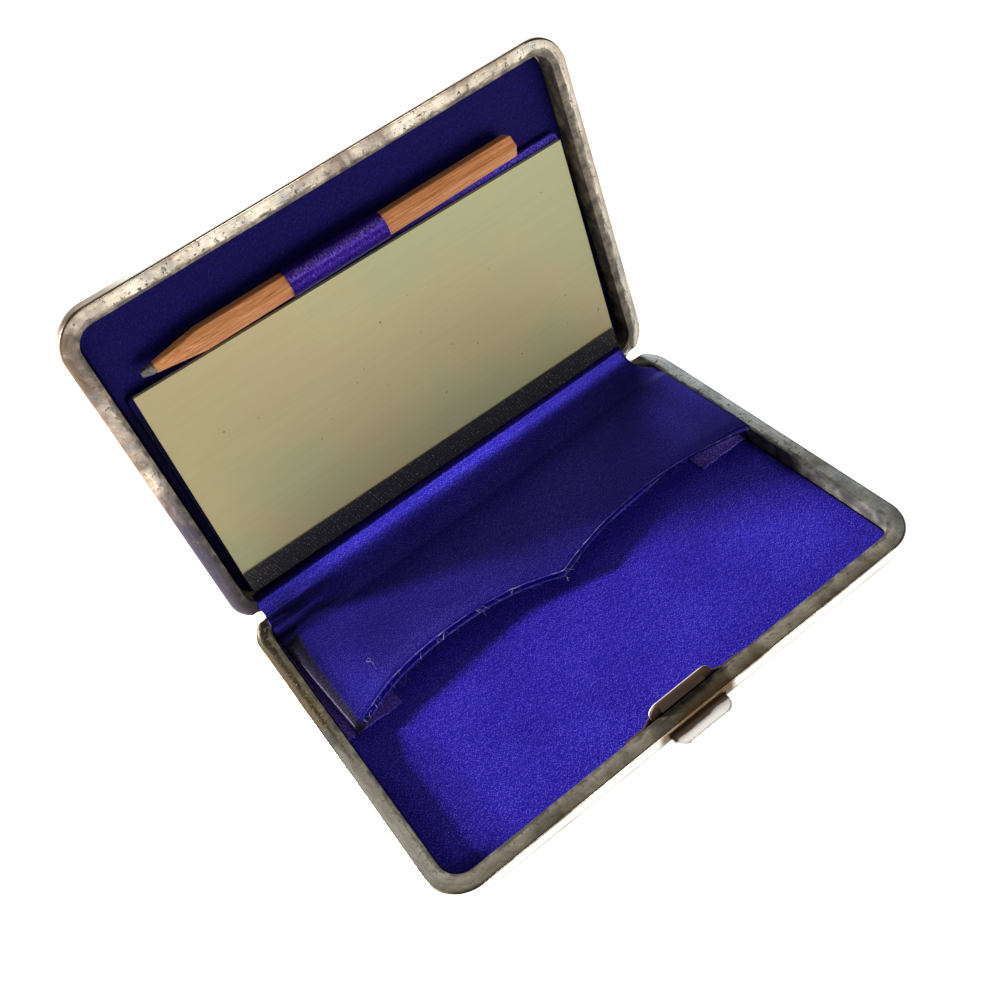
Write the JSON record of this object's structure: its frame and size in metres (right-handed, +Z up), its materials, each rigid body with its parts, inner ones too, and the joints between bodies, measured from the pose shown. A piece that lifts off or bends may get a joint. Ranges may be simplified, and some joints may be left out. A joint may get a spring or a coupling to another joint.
{
  "type": "aide memoire case",
  "caption": "Slim hinged silver case lined with silk, with a card pocket in the base, a bound writing tablet and a pencil in a loop in the lid, and a sprung thumb catch.",
  "frame": {"origin": "middle of the base's flat underside", "axes": "+X along the hinge, +Y back towards the hinge, +Z up from the underside to the rim; the lid stands open"},
  "size_m": [0.1, 0.0857, 0.076],
  "materials": {
    "silver": "polished silver with tarnish",
    "silk_bright": "blue-violet silk satin",
    "silk_dark": "dark violet silk satin",
    "card": "raw pasteboard",
    "ivorine": "smooth ivory-coloured sheet with faint grain",
    "bookcloth": "black woven bookcloth",
    "cedar": "bare cedar, whittled",
    "graphite": "worn graphite"
  },
  "bodies": {
    "base": {"base_shell": "silver", "base_rim": "silver", "base_knuckles": "silver", "hinge_pin": "silver", "base_lining_card": "card", "base_lining_silk": "silk_bright", "pocket_flap_card": "card", "pocket_flap_silk": "silk_dark", "pocket_gusset_left": "silk_dark", "pocket_gusset_right": "silk_dark", "hinge_silk": "silk_bright", "catch_spring": "silver"},
    "catch": {"catch_tongue": "silver", "thumb_piece": "silver"},
    "lid": {"lid_shell": "silver", "lid_rim": "silver", "lid_knuckles": "silver", "lid_lining_card": "card", "lid_lining_silk": "silk_dark", "tablet_backing_card": "card", "tablet_backing_silk": "silk_dark", "tablet_leaf": "ivorine", "tablet_binding": "bookcloth", "pencil_loop": "silk_bright"},
    "pencil": {"pencil_wood": "cedar", "pencil_lead": "graphite"}
  },
  "joints": [
    {"name": "lid_hinge", "type": "hinge", "parent": "base", "child": "lid", "pos_m": [0, 0.03522, 0.0051], "axis": [1, 0, 0], "range_deg": [0, 95.4], "deforming": ["hinge_silk"]},
    {"name": "catch_press", "type": "slide", "parent": "base", "child": "catch", "axis": [0, 1, 0], "range_m": [0, 0.0008], "stiffness_N_per_m": 1500, "springref_m": -0.0004, "deforming": ["catch_spring"]},
    {"name": "pencil_slide", "type": "slide", "parent": "lid", "child": "pencil", "axis": [1, 0, 0], "range_m": [-0.005, 0.01]}
  ]
}
